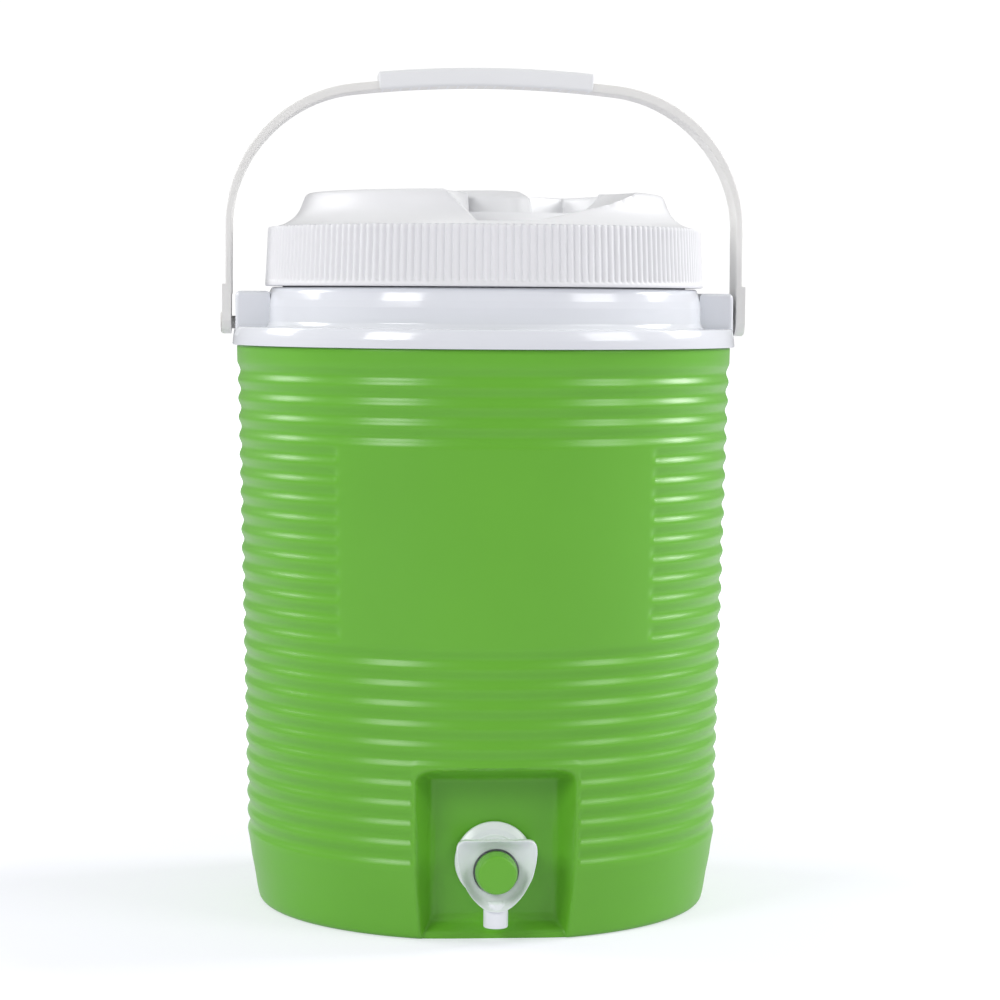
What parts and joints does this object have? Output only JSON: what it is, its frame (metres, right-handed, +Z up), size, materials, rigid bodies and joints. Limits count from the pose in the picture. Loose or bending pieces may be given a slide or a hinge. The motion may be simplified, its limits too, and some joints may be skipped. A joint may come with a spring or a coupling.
{
  "type": "insulated water jug",
  "caption": "Large cylindrical insulated water jug with a ringed shell, wide screw lid, swinging bail handle and a push-button tap in a front recess.",
  "frame": {"origin": "middle of the foot plane, under the centre of the outline", "axes": "+Z up the body, tap and panel towards -Y, handle pivots along X"},
  "size_m": [0.2618, 0.2494, 0.4122],
  "materials": {
    "shell_green": "satin moulded polyethylene",
    "foam": "rigid foam",
    "liner_white": "satin",
    "gloss_white": "glossy",
    "strap_white": "satin, slightly warm",
    "grip_white": "satin",
    "lid_white": "satin",
    "seal_rubber": "soft silicone",
    "tap_white": "semi-gloss",
    "button_green": "satin",
    "spring_steel": "bright wire"
  },
  "bodies": {
    "jug": {"outer_shell": "shell_green", "shell_base": "shell_green", "foam_fill_plug": "shell_green", "insulation_foam": "foam", "inner_liner": "liner_white", "liner_floor_plate": "liner_white", "collar": "gloss_white", "collar_neck": "gloss_white", "handle_lugs": "gloss_white", "collar_thread": "gloss_white", "pivot_pin_left": "gloss_white", "pivot_pin_right": "gloss_white", "tap_body": "tap_white", "tap_outer_washer": "seal_rubber", "tap_inner_washer": "seal_rubber", "tap_nut": "tap_white"},
    "handle": {"handle_strap": "strap_white", "handle_grip": "grip_white"},
    "lid_seal": {"lid_gasket": "seal_rubber"},
    "lid": {"lid_skirt": "lid_white", "lid_plate": "lid_white", "lid_crown": "lid_white", "lid_thread": "lid_white", "lid_foam": "foam", "lid_inner_cover": "liner_white"},
    "stopper": {"pour_stopper": "lid_white", "stopper_seal": "seal_rubber"},
    "button": {"tap_button": "button_green", "valve_stem": "tap_white", "valve_seal": "seal_rubber", "tap_spring": "spring_steel"}
  },
  "joints": [
    {"name": "handle_swing", "type": "hinge", "parent": "jug", "child": "handle", "pos_m": [0, 0, 0.286], "axis": [1, 0, 0], "range_deg": [-84, 84]},
    {"name": "lid_lift", "type": "slide", "parent": "jug", "child": "lid_seal", "axis": [0, 0, 1], "range_m": [0, 0.036]},
    {"name": "lid_turn", "type": "hinge", "parent": "lid_seal", "child": "lid", "pos_m": [0, 0, 0.32], "axis": [0, 0, 1], "range_deg": [0, 540]},
    {"name": "stopper_lift", "type": "slide", "parent": "lid", "child": "stopper", "axis": [0, 0, 1], "range_m": [0, 0.016]},
    {"name": "button_push", "type": "slide", "parent": "jug", "child": "button", "axis": [0, 1, 0], "range_m": [0, 0.0045], "stiffness_N_per_m": 900, "springref_m": -0.002, "deforming": ["tap_spring"]}
  ],
  "couplings": [
    {"joint": "lid_lift", "follows": "lid_turn", "m_per_rad": 0.0038197}
  ]
}
